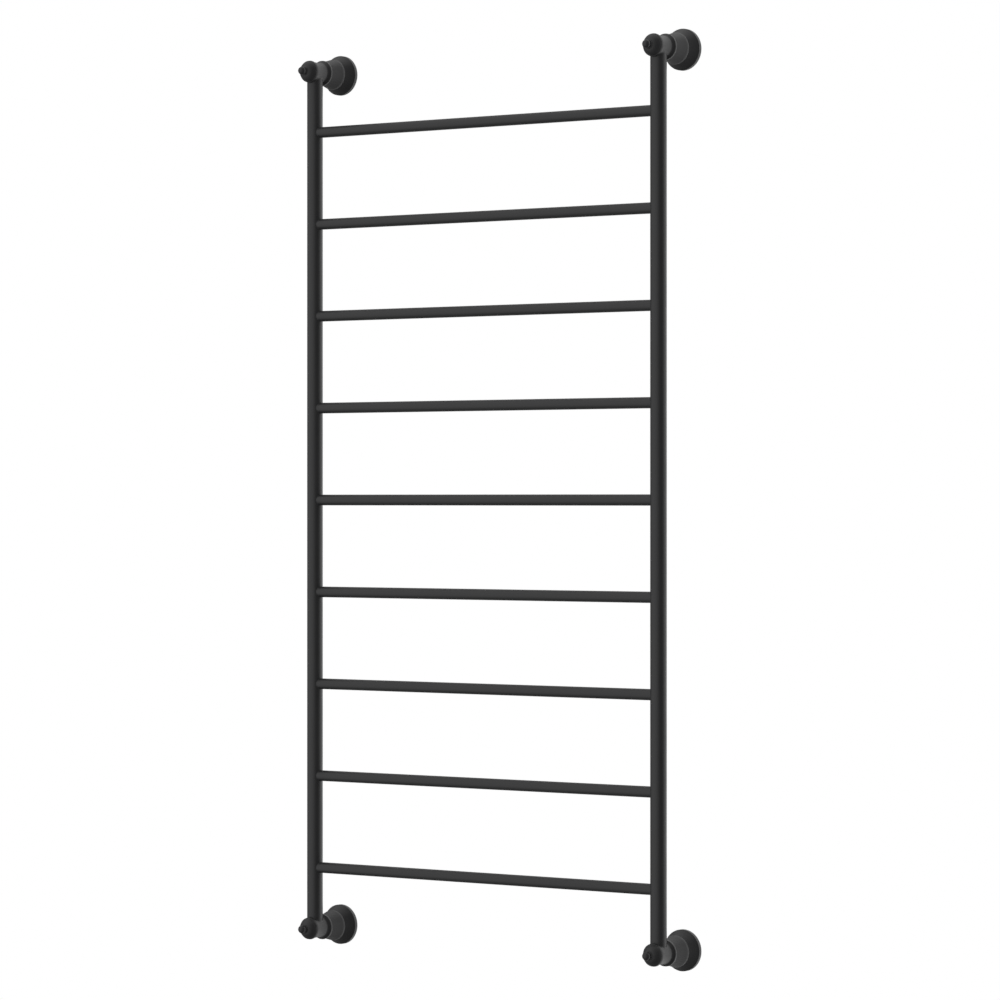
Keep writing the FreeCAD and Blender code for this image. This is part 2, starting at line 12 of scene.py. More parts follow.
import bmesh
import bpy
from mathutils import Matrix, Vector


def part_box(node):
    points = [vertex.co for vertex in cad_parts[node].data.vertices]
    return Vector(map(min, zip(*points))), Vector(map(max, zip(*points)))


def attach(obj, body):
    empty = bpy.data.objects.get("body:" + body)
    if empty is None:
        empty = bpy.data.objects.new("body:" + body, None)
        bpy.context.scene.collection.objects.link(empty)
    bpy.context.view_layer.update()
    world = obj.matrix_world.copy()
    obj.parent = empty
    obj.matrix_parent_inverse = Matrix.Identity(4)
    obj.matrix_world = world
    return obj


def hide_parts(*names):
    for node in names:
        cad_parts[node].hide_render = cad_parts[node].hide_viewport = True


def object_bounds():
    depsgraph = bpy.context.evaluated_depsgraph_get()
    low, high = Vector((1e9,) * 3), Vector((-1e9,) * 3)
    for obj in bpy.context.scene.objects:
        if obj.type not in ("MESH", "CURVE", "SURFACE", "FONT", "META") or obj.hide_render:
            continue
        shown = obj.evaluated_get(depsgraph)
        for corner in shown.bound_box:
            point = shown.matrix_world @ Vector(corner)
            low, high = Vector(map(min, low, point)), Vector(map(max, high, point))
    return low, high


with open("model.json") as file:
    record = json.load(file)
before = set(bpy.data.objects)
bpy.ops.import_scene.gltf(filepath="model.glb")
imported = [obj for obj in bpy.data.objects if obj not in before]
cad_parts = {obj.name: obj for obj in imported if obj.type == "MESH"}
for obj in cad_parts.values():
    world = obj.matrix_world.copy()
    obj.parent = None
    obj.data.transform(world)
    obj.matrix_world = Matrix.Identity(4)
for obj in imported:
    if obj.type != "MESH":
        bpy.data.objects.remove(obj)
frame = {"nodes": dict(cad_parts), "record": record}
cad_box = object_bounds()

MM = 0.001
FULL_TURN = 2 * math.pi
scene = bpy.context.scene
print("CAD box, metres:", [round(v, 4) for corner in cad_box for v in corner])

# %% [markdown]
# ## The frame's own measures
# A piece goes where the CAD says it is, so the axes of the tubes and brackets are read from the
# boxes of the CAD nodes instead of being typed in again. If the rack is made wider or taller there,
# everything below follows.

# %% Read the axes and diameters


def box_centre(node):
    low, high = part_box(node)
    return (low + high) / 2


def box_size(node):
    low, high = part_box(node)
    return high - low


CORNERS = {"top_left": (-1, 1), "top_right": (1, 1), "bottom_left": (-1, -1), "bottom_right": (1, -1)}
RUNG_NAMES = sorted((n for n in frame["nodes"] if n.startswith("rung_")), key=lambda n: int(n[5:]))
RACK = "rack"
COAT_SLOT = "black_powder_coat"

half_width = box_centre("upright_right").x
ladder_y = box_centre("upright_right").y
upright_radius = box_size("upright_right").x / 2
rung_radius = box_size("rung_1").z / 2
rung_levels = [box_centre(name).z for name in RUNG_NAMES]
rung_pitch = rung_levels[0] - rung_levels[1]
half_height = box_centre("wall_plate_top_right").z
print("uprights %.1f mm apart, %.1f mm thick" % (2 * half_width / MM, 2 * upright_radius / MM))
print("%d rungs %.1f mm thick, %.2f mm apart" % (
    len(RUNG_NAMES), 2 * rung_radius / MM, rung_pitch / MM))

# %% [markdown]
# ## Camera
# The camera looks at the rack from its right, level with its middle, through a long lens. A long
# lens far away keeps the uprights parallel and makes the rungs fan only slightly. The other way to
# keep them parallel is a short lens with a shift, but that would stretch the brackets.

# %% Camera
CAMERA_AZIMUTH = math.radians(35.768)
CAMERA_DISTANCE = 5.5952
CAMERA_SIDE_STEP = 0.0251
CAMERA_LENS = 147.89         # millimetres, as the sensor's width
CAMERA_SENSOR = 36
CAMERA_SEES_TO = 50          # metres

toward_rack = Vector((-math.sin(CAMERA_AZIMUTH), math.cos(CAMERA_AZIMUTH), 0))
to_the_right = Vector((math.cos(CAMERA_AZIMUTH), math.sin(CAMERA_AZIMUTH), 0))
camera_data = bpy.data.cameras.new("camera")
camera_data.lens = CAMERA_LENS
camera_data.sensor_width = CAMERA_SENSOR
camera_data.clip_end = CAMERA_SEES_TO
camera = bpy.data.objects.new("camera", camera_data)
camera.location = (Vector((0, ladder_y, 0)) - toward_rack * CAMERA_DISTANCE
                   + to_the_right * CAMERA_SIDE_STEP)
camera.rotation_euler = (math.pi / 2, 0, CAMERA_AZIMUTH)
scene.collection.objects.link(camera)
scene.camera = camera
print("camera at", [round(v, 3) for v in camera.location])

# %% [markdown]
# ## Two small helpers for node trees
# Every finish, the studio light and the repeating pieces are node trees built by the script. One
# helper turns a paint chart's sRGB code into the linear colour that a shader works in, the other
# adds a node with its settings and links in one line.

# %% Helpers for colours and nodes


def hex_colour(code):
    """sRGB hex code to linear colour, with full cover as its fourth value."""
    values = [int(code[i:i + 2], 16) / 255 for i in (1, 3, 5)]
    linear = [v / 12.92 if v <= 0.04045 else ((v + 0.055) / 1.055) ** 2.4 for v in values]
    return (*linear, 1.0)


def add_node(tree, kind, links=None, **settings):
    """Adds a node. Settings are its properties, links its inputs: a socket to join or a value."""
    node = tree.nodes.new(kind)
    for name, value in settings.items():
        setattr(node, name, value)
    for name, value in (links or {}).items():
        if isinstance(value, bpy.types.NodeSocket):
            tree.links.new(value, node.inputs[name])
        else:
            node.inputs[name].default_value = value
    return node


print("middle grey is", round(hex_colour("#808080")[0], 3), "in linear light")

# %% [markdown]
# ## Studio light
# A tube shows its light as stripes, so the light is what makes a black rack readable. Soft boxes at
# a few metres would light the top of a 1.2 m rack differently from its bottom. Here the boxes are
# soft patches painted on the far sky, so each tube has the same stripes along its whole length: a
# broad soft one from the front, a dark band on the right-hand side, and a bright edge from behind.
# A little even light on top keeps the undersides from going quite black.

# %% Light
WHITE = "#ffffff"
AMBIENT_STRENGTH = 0.16
SOFT_PATCHES = [
    # azimuth (0 in front, 90 on the right), height angle, full inside, gone outside, strength
    ("front", -24, 4, 10, 78, 0.73),
    ("behind", 162, 0, 5, 70, 1.25),
    ("overhead", -110, 75, 10, 60, 0.50),
]

world = bpy.data.worlds.new("white_studio")
world.use_nodes = True
scene.world = world
sky = world.node_tree
sky.nodes.clear()
direction = add_node(sky, "ShaderNodeTexCoord").outputs["Generated"]
total = AMBIENT_STRENGTH
for name, azimuth, height, inside, outside, strength in SOFT_PATCHES:
    turn, rise = math.radians(azimuth), math.radians(height)
    middle = (math.sin(turn) * math.cos(rise), -math.cos(turn) * math.cos(rise), math.sin(rise))
    closeness = add_node(sky, "ShaderNodeVectorMath", {0: direction, 1: middle},
                         operation="DOT_PRODUCT")
    patch = add_node(sky, "ShaderNodeMapRange", {
        "Value": closeness.outputs["Value"], "From Min": math.cos(math.radians(outside)),
        "From Max": math.cos(math.radians(inside)), "To Max": strength},
        interpolation_type="SMOOTHSTEP", label=name)
    total = add_node(sky, "ShaderNodeMath", {0: patch.outputs[0], 1: total}).outputs[0]
rays = add_node(sky, "ShaderNodeLightPath")
seen = add_node(sky, "ShaderNodeBackground", {"Color": hex_colour(WHITE), "Strength": 1.0})
lighting = add_node(sky, "ShaderNodeBackground", {"Color": hex_colour(WHITE), "Strength": total})
either = add_node(sky, "ShaderNodeMixShader", {
    0: rays.outputs["Is Camera Ray"], 1: lighting.outputs[0], 2: seen.outputs[0]})
add_node(sky, "ShaderNodeOutputWorld", {"Surface": either.outputs[0]})
scene.view_settings.view_transform = "Standard"
print("light from", len(SOFT_PATCHES), "soft patches")

# %% [markdown]
# ## Floor
# The rack hangs on a wall, so the floor is well below it and only shows from above. It is a pale
# round disc whose edge fades out, and it is staged: it isn't part of the object.

# %% Floor
FLOOR_WHITE = "#f4f4f2"
FLOOR_RADIUS = 1.45
FLOOR_FADE_START = 0.45      # share of the radius
FLOOR_DROP = 0.3             # below the rack, in metres
FLOOR_LEVEL = cad_box[0][2] - FLOOR_DROP
FLOOR_STEPS = 128

floor_mesh = bmesh.new()
bmesh.ops.create_circle(floor_mesh, cap_ends=True, segments=FLOOR_STEPS, radius=FLOOR_RADIUS)
bmesh.ops.translate(floor_mesh, verts=floor_mesh.verts, vec=(0, 0, FLOOR_LEVEL))
floor_data = bpy.data.meshes.new("floor")
floor_mesh.to_mesh(floor_data)
floor_mesh.free()
floor_material = bpy.data.materials.new("pale_floor")
floor_material.use_nodes = True
paint = floor_material.node_tree
paint.nodes.clear()
place = add_node(paint, "ShaderNodeTexCoord")
flat_place = add_node(paint, "ShaderNodeVectorMath", {
    0: place.outputs["Object"], 1: (1, 1, 0)}, operation="MULTIPLY")
from_middle = add_node(paint, "ShaderNodeVectorMath", {0: flat_place.outputs[0]}, operation="LENGTH")
fade = add_node(paint, "ShaderNodeMapRange", {
    "Value": from_middle.outputs["Value"], "From Min": FLOOR_RADIUS * FLOOR_FADE_START,
    "From Max": FLOOR_RADIUS}, interpolation_type="SMOOTHSTEP")
matt = add_node(paint, "ShaderNodeBsdfDiffuse", {"Color": hex_colour(FLOOR_WHITE)})
clear = add_node(paint, "ShaderNodeBsdfTransparent")
faded = add_node(paint, "ShaderNodeMixShader", {
    0: fade.outputs[0], 1: matt.outputs[0], 2: clear.outputs[0]})
add_node(paint, "ShaderNodeOutputMaterial", {"Surface": faded.outputs[0]})
floor_data.materials.append(floor_material)
floor = bpy.data.objects.new("floor", floor_data)
scene.collection.objects.link(floor)
floor.visible_diffuse = False    # it throws no light back up, so the rungs keep one look
floor.visible_glossy = False
print("floor %.0f mm below the lower brackets" % ((-half_height - FLOOR_LEVEL) / MM))

# %% [markdown]
# ## Black powder coat
# The steel is sprayed with dry polyester powder and baked, which leaves one unbroken satin skin
# over tubes, brazed joints and brackets. Three things tell it from wet paint: a slow orange peel
# where the powder flowed, a fine grain from its matting agent, and a gloss that changes a little
# from place to place. All three are noise on object coordinates, so they run on across the joints.

# %% Powder coat
COAT_BLACK = "#2b2b2c"
COAT_BLACK_WORN = "#303031"
COAT_ROUGHNESS = (0.37, 0.44)
COAT_PATCH_MM = 45.0         # gloss and shade change slowly along a tube
ORANGE_PEEL_MM = 2.6
ORANGE_PEEL_HEIGHT_MM = 0.012
COAT_GRAIN_MM = 0.45
COAT_GRAIN_HEIGHT_MM = 0.010
POLYESTER_IOR = 1.5
NOISE_RANGE = (0.3, 0.7)     # where nearly all of a noise's values lie


def new_material(name):
    material = bpy.data.materials.new(name)
    material.use_nodes = True
    material.node_tree.nodes.clear()
    return material, material.node_tree


def per_metre(size_mm):
    """Scale of a noise whose lumps are that many millimetres apart."""
    return 1 / (size_mm * MM)


def powder_coat():
    material, tree = new_material("black_polyester_powder_coat")
    place = add_node(tree, "ShaderNodeTexCoord").outputs["Object"]
    patches = add_node(tree, "ShaderNodeTexNoise", {
        "Vector": place, "Scale": per_metre(COAT_PATCH_MM), "Detail": 2.0, "Roughness": 0.5})
    peel = add_node(tree, "ShaderNodeTexNoise", {
        "Vector": place, "Scale": per_metre(ORANGE_PEEL_MM), "Detail": 1.0, "Roughness": 0.4})
    grain = add_node(tree, "ShaderNodeTexNoise", {
        "Vector": place, "Scale": per_metre(COAT_GRAIN_MM), "Detail": 2.0, "Roughness": 0.6})
    shade = add_node(tree, "ShaderNodeMix", {
        "Factor": patches.outputs["Fac"], 6: hex_colour(COAT_BLACK), 7: hex_colour(COAT_BLACK_WORN)},
        data_type="RGBA")
    gloss = add_node(tree, "ShaderNodeMapRange", {
        "Value": patches.outputs["Fac"], "From Min": NOISE_RANGE[0], "From Max": NOISE_RANGE[1],
        "To Min": COAT_ROUGHNESS[0], "To Max": COAT_ROUGHNESS[1]})
    waves = add_node(tree, "ShaderNodeBump", {
        "Height": peel.outputs["Fac"], "Distance": ORANGE_PEEL_HEIGHT_MM * MM})
    bumps = add_node(tree, "ShaderNodeBump", {
        "Height": grain.outputs["Fac"], "Distance": COAT_GRAIN_HEIGHT_MM * MM,
        "Normal": waves.outputs[0]})
    shader = add_node(tree, "ShaderNodeBsdfPrincipled", {
        "Base Color": shade.outputs[2], "Roughness": gloss.outputs[0], "IOR": POLYESTER_IOR,
        "Normal": bumps.outputs[0]})
    add_node(tree, "ShaderNodeOutputMaterial", {"Surface": shader.outputs[0]})
    return material


coat = powder_coat()
print("finish:", coat.name)

# %% [markdown]
# ## Turner's outlines
# Each bracket piece is turned on a lathe, so half of its section says all about it. An outline is
# a list of points with straight lines or arcs between them, as on a turner's drawing. Powder fills
# and rounds every sharp edge, so each corner gets a small curve: it is what catches the light. A
# Bevel modifier could round them too, but it would round the seams of the mesh as well.

# %% Outlines
ARC_STEPS = 12
EDGE_ROUND_MM = 0.3
FINE_EDGE_ROUND_MM = 0.15
MOST_OF_A_SIDE = 0.4         # a corner's curve takes no more of a short side than this share
CURVE_SHARES = (0.0, 0.25, 0.5, 0.75, 1.0)
SHARP_ANGLE = math.radians(40)
SEAM = 1e-6


def outline(start, *steps):
    """Points (distance towards the wall, radius) in millimetres.

    A step is the next point, or the next point and a bulge: then the way there is an arc whose
    middle stands that far outside the straight line.
    """
    points = [Vector(start)]
    for along, radius, *bulge in steps:
        here, there = points[-1], Vector((along, radius))
        if bulge:
            run = there - here
            outwards = Vector((-run.y, run.x)).normalized()
            half_angle = 2 * math.atan2(bulge[0], run.length / 2)
            arc_radius = run.length / 2 / math.sin(half_angle)
            for step in range(1, ARC_STEPS):
                angle = (2 * step / ARC_STEPS - 1) * half_angle
                points.append((here + there) / 2 + run.normalized() * arc_radius * math.sin(angle)
                              + outwards * arc_radius * (math.cos(angle) - math.cos(half_angle)))
        points.append(there)
    return points


def softened(points, size=EDGE_ROUND_MM):
    """The same outline with a small curve at each corner off the axis."""
    soft = []
    for i, point in enumerate(points):
        back, onward = points[i - 1] - point, points[(i + 1) % len(points)] - point
        turn = math.pi - back.angle(onward)
        if point.y < SEAM or turn < SHARP_ANGLE / 2:
            soft.append(point)
            continue
        cut = min(size, MOST_OF_A_SIDE * back.length, MOST_OF_A_SIDE * onward.length)
        start, end = point + back.normalized() * cut, point + onward.normalized() * cut
        for t in CURVE_SHARES:
            soft.append(start * (1 - t) ** 2 + point * 2 * t * (1 - t) + end * t ** 2)
    return soft


print("an arc has %d steps, an edge is rounded over %.2f mm" % (ARC_STEPS, EDGE_ROUND_MM))

# %% [markdown]
# ## Turning an outline
# The lathe is a loop: each point of the outline becomes a ring of points round the bracket's axis,
# and faces bridge one ring to the next. The Screw modifier and Spin do the same, but here the poles
# close to one point and the last ring joins the first, so the mesh is closed from the start.

# %% Rings of points
AROUND = 128


def bracket_axis(corner):
    side, level = CORNERS[corner]
    return Vector((side * half_width, ladder_y, level * half_height))


def bridge(mesh, ring, next_ring):
    """Faces between two rings of points. A ring of one point is a pole."""
    count = max(len(ring), len(next_ring))
    if count == 1:
        return
    for k in range(count):
        j = (k + 1) % count
        corners = [ring[k % len(ring)], ring[j % len(ring)],
                   next_ring[j % len(next_ring)], next_ring[k % len(next_ring)]]
        mesh.faces.new(list(dict.fromkeys(corners)))


def ring_at(mesh, corner, along, radius):
    """Points round a bracket's axis, or one point where the radius is nought."""
    centre = bracket_axis(corner) + Vector((0, along * MM, 0))
    if radius < SEAM:
        return [mesh.verts.new(centre)]
    return [mesh.verts.new(centre + Vector((math.cos(angle), 0, math.sin(angle))) * radius * MM)
            for angle in (FULL_TURN * k / AROUND for k in range(AROUND))]


def turned(corner, points):
    """Closed mesh of an outline turned about a bracket's axis."""
    mesh = bmesh.new()
    rings = [ring_at(mesh, corner, along, radius) for along, radius in points]
    for ring, next_ring in zip(rings, rings[1:] + rings[:1]):
        bridge(mesh, ring, next_ring)
    return mesh


print("turned pieces have %d points round the axis" % AROUND)

# %% [markdown]
# ## Finished meshes
# Whatever made a mesh, it ends the same way: doubled points are merged, faces are turned outwards,
# and the shading is smooth except at real corners. Then it becomes an object with its finish, the
# CAD nodes it stands for are hidden, and it rides on the body that carries it. Smooth shading by
# angle could be a modifier, but marking the edges once leaves a plain mesh.

# %% Finished meshes and pieces


def finish_mesh(name, mesh, material):
    """Closes the seams, points the faces outwards and shades them smooth up to real corners."""
    bmesh.ops.remove_doubles(mesh, verts=mesh.verts, dist=SEAM)
    bmesh.ops.dissolve_degenerate(mesh, dist=SEAM, edges=mesh.edges)
    bmesh.ops.recalc_face_normals(mesh, faces=mesh.faces)
    for face in mesh.faces:
        face.smooth = True
    for edge in mesh.edges:
        edge.smooth = not edge.is_manifold or edge.calc_face_angle() < SHARP_ANGLE
    open_edges = sum(not edge.is_manifold for edge in mesh.edges)
    data = bpy.data.meshes.new(name)
    mesh.to_mesh(data)
    mesh.free()
    data.materials.append(material)
    if open_edges:
        print(name, "has", open_edges, "open edges")
    return data


def add_piece(name, data, nodes, body=RACK):
    """A coated piece that stands for CAD nodes and rides on a body."""
    piece = bpy.data.objects.new(name, data)
    scene.collection.objects.link(piece)
    if nodes:
        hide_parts(*nodes)
    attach(piece, body)
    return piece


print("edges sharper than %.0f degrees stay crisp" % math.degrees(SHARP_ANGLE))

# %% [markdown]
# ## Sockets
# A socket is turned from bar: a short barrel with slightly hollow sides, a small cove at the back
# and an M8 thread in front for the finial. Its spigot inside the upright, where nothing shows, is
# left to the CAD solid. The outline is also needed to fit the end of each upright to it, so a
# function gives its radius at any depth.

# %% Sockets
SOCKET_FACE_RADIUS = 14.4
SOCKET_COVE_RADIUS = 14.4
SOCKET_COVE_LENGTH = 1.6
SOCKET_BACK_RADIUS = 15.0
SOCKET_SIDE_BULGE = -0.45
SOCKET_COVE_BULGE = -0.08
FINIAL_THREAD_RADIUS = 4.0
FINIAL_HOLE_DEPTH = 10.9
THREAD_CLEARANCE = 0.05
BACK_THREAD_RADIUS = 6.05
BACK_THREAD_DEPTH = 5.0
WIRE_BORE_RADIUS = 4.5


def depths(node):
    """Front and back of a node in millimetres, from the uprights' axes towards the wall."""
    low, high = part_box(node)
    return (low.y - ladder_y) / MM, (high.y - ladder_y) / MM


socket_front, socket_back = depths("socket_top_right")
socket_side = outline(
    (socket_front, SOCKET_FACE_RADIUS),
    (socket_back - SOCKET_COVE_LENGTH, SOCKET_COVE_RADIUS, SOCKET_SIDE_BULGE),
    (socket_back, SOCKET_BACK_RADIUS, SOCKET_COVE_BULGE),
)


def socket_radius(along):
    """Radius of the socket's side at a distance towards the wall, in millimetres."""
    for near, far in zip(socket_side, socket_side[1:]):
        if along < far.x:
            share = max(0, (along - near.x) / (far.x - near.x))
            return near.y + share * (far.y - near.y)
    return socket_side[-1].y


finial_hole = FINIAL_THREAD_RADIUS + THREAD_CLEARANCE
socket_outline = softened(socket_side + [
    Vector((socket_back, BACK_THREAD_RADIUS)),
    Vector((socket_back - BACK_THREAD_DEPTH, BACK_THREAD_RADIUS)),
    Vector((socket_back - BACK_THREAD_DEPTH, WIRE_BORE_RADIUS)),
    Vector((socket_front + FINIAL_HOLE_DEPTH, WIRE_BORE_RADIUS)),
    Vector((socket_front + FINIAL_HOLE_DEPTH, finial_hole)),
    Vector((socket_front, finial_hole)),
], FINE_EDGE_ROUND_MM)
for corner in CORNERS:
    data = finish_mesh("turned_socket_" + corner, turned(corner, socket_outline), coat)
    add_piece(data.name, data, ["socket_" + corner])
print("sockets %.1f mm long" % (socket_back - socket_front))

# %% [markdown]
# ## Drilled holes
# A hole is drilled by a bar: the bar is a closed mesh, and an exact boolean takes it away from the
# piece. The rung holes and the grub screw holes are made so, because each crosses a curved wall.

# %% Bars and cuts
BAR_AROUND = 48


def cut_away(data, cutter_mesh):
    """Cuts one closed mesh out of another and returns the rest as a new bmesh."""
    cutter_data = bpy.data.meshes.new("cutter")
    bmesh.ops.recalc_face_normals(cutter_mesh, faces=cutter_mesh.faces)
    cutter_mesh.to_mesh(cutter_data)
    cutter_mesh.free()
    work = bpy.data.objects.new("work", data)
    cutter = bpy.data.objects.new("cutter", cutter_data)
    scene.collection.objects.link(work)
    scene.collection.objects.link(cutter)
    cut = work.modifiers.new("cut", "BOOLEAN")
    cut.operation = "DIFFERENCE"
    cut.solver = "EXACT"
    cut.object = cutter
    rest = bmesh.new()
    rest.from_object(work, bpy.context.evaluated_depsgraph_get())
    bpy.data.objects.remove(work)
    bpy.data.objects.remove(cutter)
    return rest


def round_bar(mesh, start, end, radius, around=BAR_AROUND):
    """Adds a closed round bar between two points."""
    run = end - start
    turn = run.to_track_quat("Z", "Y")
    rings = []
    for centre in (start, end):
        rings.append([mesh.verts.new(centre + turn @ Vector((
            math.cos(FULL_TURN * k / around), math.sin(FULL_TURN * k / around), 0)) * radius)
            for k in range(around)])
    bridge(mesh, *rings)
    mesh.faces.new(rings[0])
    mesh.faces.new(rings[1])


print("a drill has %d sides" % BAR_AROUND)

# %% [markdown]
# ## Uprights
# Each upright is a welded steel tube. Its ends are coped: cut to the saddle shape that sits on the
# round side of a socket. A boolean would find that curve from two meshes, but it has a formula, so
# the end points are put straight on it. Only the rung holes are cut with a boolean.

# %% Uprights
UPRIGHT_WALL_MM = 1.2
BRAZE_GAP_MM = 0.05
UPRIGHT_AROUND = 96
UPRIGHT_ROWS = 24
upright_bore = upright_radius - UPRIGHT_WALL_MM * MM


def cope_height(across, along):
    """Height above a bracket's axis at which a tube's surface meets the socket. All in metres."""
    reach = (socket_radius(along / MM) + BRAZE_GAP_MM) * MM
    return math.sqrt(reach ** 2 - across ** 2)


def upright_mesh(side):
    mesh = bmesh.new()
    walls = []
    for radius in (upright_radius, upright_bore):
        rows = [[] for _ in range(UPRIGHT_ROWS + 1)]
        for k in range(UPRIGHT_AROUND):
            angle = FULL_TURN * k / UPRIGHT_AROUND
            across, along = radius * math.cos(angle), radius * math.sin(angle)
            end = half_height - cope_height(across, along)
            for row, points in enumerate(rows):
                points.append(mesh.verts.new((
                    side * half_width + across, ladder_y + along,
                    end * (2 * row / UPRIGHT_ROWS - 1))))
        walls.append(rows)
    outer, inner = walls
    loop = outer + inner[::-1]
    for ring, next_ring in zip(loop, loop[1:] + loop[:1]):
        bridge(mesh, ring, next_ring)
    return mesh


for side, node in ((-1, "upright_left"), (1, "upright_right")):
    whole = finish_mesh("whole_tube", upright_mesh(side), coat)
    holes = bmesh.new()
    for level in rung_levels:
        axis = Vector((side * half_width, ladder_y, level))
        inward = Vector((-side * 2 * upright_radius, 0, 0))
        round_bar(holes, axis, axis + inward, rung_radius + BRAZE_GAP_MM * MM, around=64)
    data = finish_mesh("coped_" + node, cut_away(whole, holes), coat)
    add_piece(data.name, data, [node])
    print(node, len(data.polygons), "faces")

# %% [markdown]
# ## Trees that grow a mesh
# What repeats is made by Geometry Nodes. Each tree is built here with named inputs, runs once on an
# empty mesh, and its result is kept as a plain mesh. The modifier could stay live on the object,
# but a plain mesh exports as it stands.

# %% Growing a mesh


def tree_with_inputs(name, inputs):
    """An empty tree with one geometry output and named inputs."""
    tree = bpy.data.node_groups.new(name, "GeometryNodeTree")
    tree.interface.new_socket("Geometry", in_out="OUTPUT", socket_type="NodeSocketGeometry")
    for label, kind in inputs.items():
        tree.interface.new_socket(label, in_out="INPUT", socket_type="NodeSocket" + kind)
    return tree, tree.nodes.new("NodeGroupInput").outputs


def grown(name, tree, values):
    """Runs a tree on an empty mesh and returns the result as a bmesh."""
    carrier = bpy.data.objects.new(name, bpy.data.meshes.new(name))
    scene.collection.objects.link(carrier)
    modifier = carrier.modifiers.new("grow", "NODES")
    modifier.node_group = tree
    for item in tree.interface.items_tree:
        if item.in_out == "INPUT":
            modifier[item.identifier] = values[item.name]
    evaluated = carrier.evaluated_get(bpy.context.evaluated_depsgraph_get())
    plain = bpy.data.meshes.new_from_object(evaluated)
    bpy.data.objects.remove(carrier)
    mesh = bmesh.new()
    mesh.from_mesh(plain)
    return mesh


print("grown meshes: a tree, its values, and a plain mesh out")

# %% [markdown]
# ## One rung
# A rung is a tube coped at both ends to the bore of the uprights. A flat grid is rolled up by
# formula: across it is the turn round the axis, and up it runs along the outer wall and back along
# the inner one. A Mesh Cylinder node makes a tube too, but its ends are flat.

# %% Tube rolled from a grid
RUNG_WALL_MM = 1.0
RUNG_AROUND = 64
RUNG_ROWS = 12


def rolled_tube(tree, given):
    """Adds the nodes of one rung along X, centred on the origin, and returns its mesh."""
    both_walls = add_node(tree, "ShaderNodeMath", {0: given["Rows"], 1: 2.0}, operation="MULTIPLY")
    round_points = add_node(tree, "ShaderNodeMath", {0: given["Around"], 1: 1.0})
    long_points = add_node(tree, "ShaderNodeMath", {0: both_walls.outputs[0], 1: 1.0})
    grid = add_node(tree, "GeometryNodeMeshGrid", {
        "Size X": 1.0, "Size Y": 1.0, "Vertices X": round_points.outputs[0],
        "Vertices Y": long_points.outputs[0]})
    flat = add_node(tree, "ShaderNodeSeparateXYZ", {0: add_node(
        tree, "GeometryNodeInputPosition").outputs[0]})
    # across the grid is the turn round the axis
    share = add_node(tree, "ShaderNodeMath", {0: flat.outputs["X"], 1: 0.5})
    angle = add_node(tree, "ShaderNodeMath", {0: share.outputs[0], 1: FULL_TURN}, operation="MULTIPLY")
    # up the grid runs along the outer wall and back along the inner one
    height = add_node(tree, "ShaderNodeMath", {0: flat.outputs["Y"], 1: 0.5})
    rough_row = add_node(tree, "ShaderNodeMath", {
        0: height.outputs[0], 1: both_walls.outputs[0]}, operation="MULTIPLY")
    whole_row = add_node(tree, "ShaderNodeMath", {0: rough_row.outputs[0]}, operation="ROUND")
    row = add_node(tree, "ShaderNodeMath", {
        0: whole_row.outputs[0], 1: both_walls.outputs[0]}, operation="MODULO")
    last = add_node(tree, "ShaderNodeMath", {0: both_walls.outputs[0], 1: 1.0}, operation="SUBTRACT")
    way_back = add_node(tree, "ShaderNodeMath", {
        0: last.outputs[0], 1: row.outputs[0]}, operation="SUBTRACT")
    inner = add_node(tree, "ShaderNodeMath", {
        0: row.outputs[0], 1: way_back.outputs[0]}, operation="GREATER_THAN")
    step = add_node(tree, "ShaderNodeMath", {
        0: row.outputs[0], 1: way_back.outputs[0]}, operation="MINIMUM")
    steps = add_node(tree, "ShaderNodeMath", {0: given["Rows"], 1: 1.0}, operation="SUBTRACT")
    progress = add_node(tree, "ShaderNodeMath", {
        0: step.outputs[0], 1: steps.outputs[0]}, operation="DIVIDE")
    wall = add_node(tree, "ShaderNodeMath", {
        0: inner.outputs[0], 1: given["Wall"]}, operation="MULTIPLY")
    radius = add_node(tree, "ShaderNodeMath", {
        0: given["Radius"], 1: wall.outputs[0]}, operation="SUBTRACT")
    cosine = add_node(tree, "ShaderNodeMath", {0: angle.outputs[0]}, operation="COSINE")
    sine = add_node(tree, "ShaderNodeMath", {0: angle.outputs[0]}, operation="SINE")
    y = add_node(tree, "ShaderNodeMath", {
        0: radius.outputs[0], 1: cosine.outputs[0]}, operation="MULTIPLY")
    z = add_node(tree, "ShaderNodeMath", {
        0: radius.outputs[0], 1: sine.outputs[0]}, operation="MULTIPLY")
    # the cope: how far short of the upright's axis this line of the tube ends
    bore_squared = add_node(tree, "ShaderNodeMath", {
        0: given["Bore"], 1: given["Bore"]}, operation="MULTIPLY")
    y_squared = add_node(tree, "ShaderNodeMath", {
        0: y.outputs[0], 1: y.outputs[0]}, operation="MULTIPLY")
    squares = add_node(tree, "ShaderNodeMath", {
        0: bore_squared.outputs[0], 1: y_squared.outputs[0]}, operation="SUBTRACT")
    short = add_node(tree, "ShaderNodeMath", {0: squares.outputs[0]}, operation="SQRT")
    reach = add_node(tree, "ShaderNodeMath", {
        0: given["Half span"], 1: short.outputs[0]}, operation="SUBTRACT")
    side = add_node(tree, "ShaderNodeMapRange", {"Value": progress.outputs[0], "To Min": -1.0})
    x = add_node(tree, "ShaderNodeMath", {
        0: side.outputs[0], 1: reach.outputs[0]}, operation="MULTIPLY")
    rolled = add_node(tree, "ShaderNodeCombineXYZ", {
        "X": x.outputs[0], "Y": y.outputs[0], "Z": z.outputs[0]})
    tube = add_node(tree, "GeometryNodeSetPosition", {
        "Geometry": grid.outputs["Mesh"], "Position": rolled.outputs[0]})
    return tube.outputs[0]


print("a rung has %d points round it and %d rows to a wall" % (RUNG_AROUND, RUNG_ROWS))

